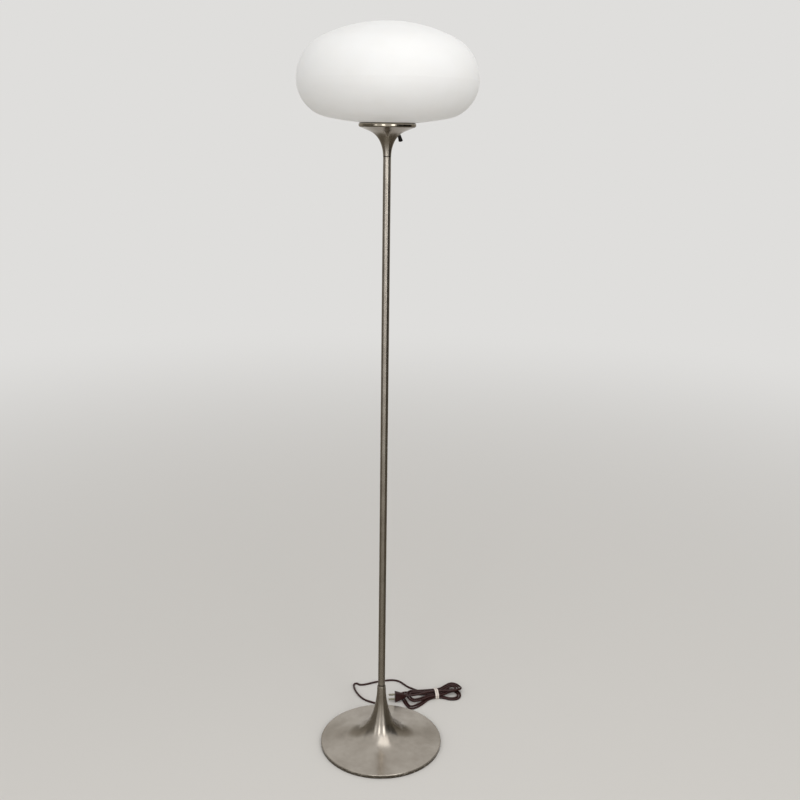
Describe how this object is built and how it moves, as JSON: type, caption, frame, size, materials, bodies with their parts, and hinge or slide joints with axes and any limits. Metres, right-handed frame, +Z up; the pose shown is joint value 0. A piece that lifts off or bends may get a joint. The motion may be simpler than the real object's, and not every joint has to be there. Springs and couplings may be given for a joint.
{
  "type": "floor lamp",
  "caption": "Free-standing floor lamp with a trumpet base, thin tube stem, flared cup and rounded opal glass shade, with its cord tied up.",
  "frame": {"origin": "middle of the base on the floor", "axes": "+Z up along the stem, +Y to the back where the cord leaves the base, +X to the right"},
  "size_m": [0.3873, 0.444, 1.584],
  "materials": {
    "satin_nickel": "satin nickel plate",
    "polished_nickel": "polished nickel plate",
    "opal_glass": "satin opal",
    "bulb_glass": "frosted inside",
    "zinc_steel": "zinc plate",
    "cast_iron": "as cast",
    "felt": "felt",
    "brass": "plain brass",
    "aluminium": "bright aluminium",
    "moulding": "moulded phenolic",
    "black_knob": "moulded black",
    "liner": "fibre sleeve",
    "cord_jacket": "brown vinyl jacket",
    "tie": "paper-covered wire"
  },
  "bodies": {
    "lamp": {"base_felt": "felt", "base_nut": "zinc_steel", "base_shell": "satin_nickel", "base_washer": "zinc_steel", "base_weight": "cast_iron", "bulb_cap": "aluminium", "bulb_contact": "brass", "bulb_glass": "bulb_glass", "bulb_insulator": "moulding", "centre_contact": "brass", "cord_bushing": "moulding", "cord_free": "cord_jacket", "cord_hank": "cord_jacket", "cord_tie": "tie", "flare_shell": "satin_nickel", "neck_bush": "brass", "plate_nut": "zinc_steel", "plate_washer": "zinc_steel", "plug_blades": "brass", "plug_body": "cord_jacket", "riser_cord": "cord_jacket", "screw_shell": "brass", "shade_gasket": "felt", "shade_plate": "polished_nickel", "socket_body": "moulding", "socket_cap": "brass", "socket_leads": "cord_jacket", "socket_liner": "liner", "socket_shell": "brass", "stem_tube": "satin_nickel", "switch_body": "moulding", "switch_leads": "cord_jacket", "switch_nut": "polished_nickel", "terminal_screws": "brass", "threaded_rod": "zinc_steel", "top_bush": "brass"},
    "shade": {"glass_shade": "opal_glass"},
    "knob": {"switch_knob": "black_knob", "switch_shaft": "brass"}
  },
  "joints": [
    {"name": "shade_lift", "type": "slide", "parent": "lamp", "child": "shade", "axis": [0, 0, 1], "range_m": [0, 0.16]},
    {"name": "switch_turn", "type": "hinge", "parent": "lamp", "child": "knob", "pos_m": [0.0218, 0.02598, 1.3789], "axis": [0.2717, 0.3237, -0.9063], "continuous": true}
  ]
}
